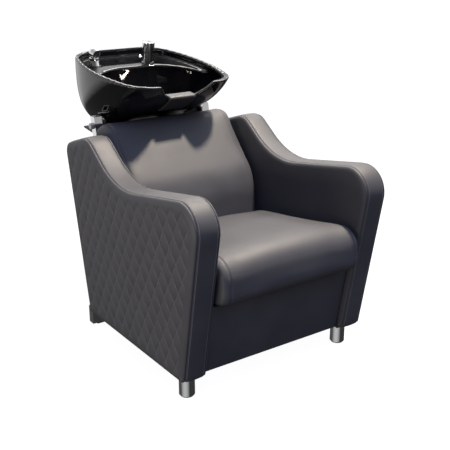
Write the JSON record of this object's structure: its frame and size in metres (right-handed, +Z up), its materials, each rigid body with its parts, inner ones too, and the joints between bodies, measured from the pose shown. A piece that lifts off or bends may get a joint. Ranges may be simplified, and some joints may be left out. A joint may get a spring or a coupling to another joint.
{
  "type": "salon shampoo chair",
  "caption": "Upholstered salon shampoo chair with quilted arms and a tilting black basin with mixer tap and hand shower on a stand behind the backrest.",
  "frame": {"origin": "on the floor, under the middle of the whole chair", "axes": "+Z up; the sitter looks along -Y, so the bowl is at +Y; +X is the sitter's left"},
  "size_m": [0.725, 1.1251, 0.9645],
  "materials": {
    "vinyl": "soft black upholstery vinyl with a satin sheen",
    "timber": "plain sawn timber and plywood",
    "dust_cloth": "thin black non-woven cloth",
    "chrome": "polished chrome plating",
    "glazed_ceramic": "opaque black glazed ceramic, high gloss",
    "black_rubber": "soft satin black rubber",
    "black_plastic": "matt black moulded plastic",
    "black_steel": "black powder coat",
    "plain_steel": "zinc-plated steel"
  },
  "bodies": {
    "chair": {"arm_back_post_left": "timber", "arm_back_post_right": "timber", "arm_band_left": "vinyl", "arm_band_right": "vinyl", "arm_bottom_rail_left": "timber", "arm_bottom_rail_right": "timber", "arm_front_post_left": "timber", "arm_front_post_right": "timber", "arm_inner_pad_left": "vinyl", "arm_inner_pad_right": "vinyl", "arm_outer_pad_left": "vinyl", "arm_outer_pad_right": "vinyl", "arm_top_rail_left": "timber", "arm_top_rail_right": "timber", "back_lower_rail": "timber", "back_upper_rail": "timber", "backrest_board": "timber", "backrest_cushion": "vinyl", "bar_end_plugs": "chrome", "bar_floor_pads": "black_rubber", "dust_cover": "dust_cloth", "foot_glides": "black_plastic", "foot_plates": "plain_steel", "foot_screws": "plain_steel", "front_foot_left": "chrome", "front_foot_right": "chrome", "front_panel": "vinyl", "mounting_bolts": "plain_steel", "mounting_plate": "black_steel", "pivot_bolts": "plain_steel", "pivot_nuts": "plain_steel", "rear_foot_bar": "chrome", "rear_panel": "vinyl", "seat_board": "timber", "seat_cushion": "vinyl", "seat_front_rail": "timber", "seat_rear_rail": "timber", "tilt_ear_left": "chrome", "tilt_ear_right": "chrome", "upright_bolts": "plain_steel", "upright_left": "chrome", "upright_right": "chrome"},
    "bowl_unit": {"bowl": "glazed_ceramic", "neck_rest": "black_rubber", "bowl_cradle": "black_steel", "cradle_pads": "black_rubber", "drain_flange": "chrome", "drain_tailpiece": "black_plastic", "drain_lock_nut": "black_plastic", "mixer_body": "chrome", "mixer_nut": "black_plastic", "shower_holder": "chrome", "holder_nut": "black_plastic"},
    "strainer": {"hair_strainer": "plain_steel"},
    "mixer_cap": {"mixer_cap": "chrome"},
    "mixer_lever": {"mixer_lever": "chrome"},
    "handset": {"shower_handset": "chrome", "spray_face": "black_rubber"}
  },
  "joints": [
    {"name": "bowl_tilt", "type": "hinge", "parent": "chair", "child": "bowl_unit", "pos_m": [0, 0.28999, 0.70543], "axis": [-1, 0, 0], "range_deg": [0, 15]},
    {"name": "mixer_swivel", "type": "hinge", "parent": "bowl_unit", "child": "mixer_cap", "pos_m": [0.08202, 0.44493, 0.88315], "axis": [0, -0.1191, 0.9929], "range_deg": [-45, 45]},
    {"name": "mixer_lift", "type": "hinge", "parent": "mixer_cap", "child": "mixer_lever", "pos_m": [0.08202, 0.43644, 0.95394], "axis": [1, 0, 0], "range_deg": [0, 25]},
    {"name": "shower_lift", "type": "slide", "parent": "bowl_unit", "child": "handset", "axis": [0, -0.1191, 0.9929], "range_m": [0, 0.2]},
    {"name": "strainer_lift", "type": "slide", "parent": "bowl_unit", "child": "strainer", "axis": [0, -0.1191, 0.9929], "range_m": [0, 0.06]}
  ]
}
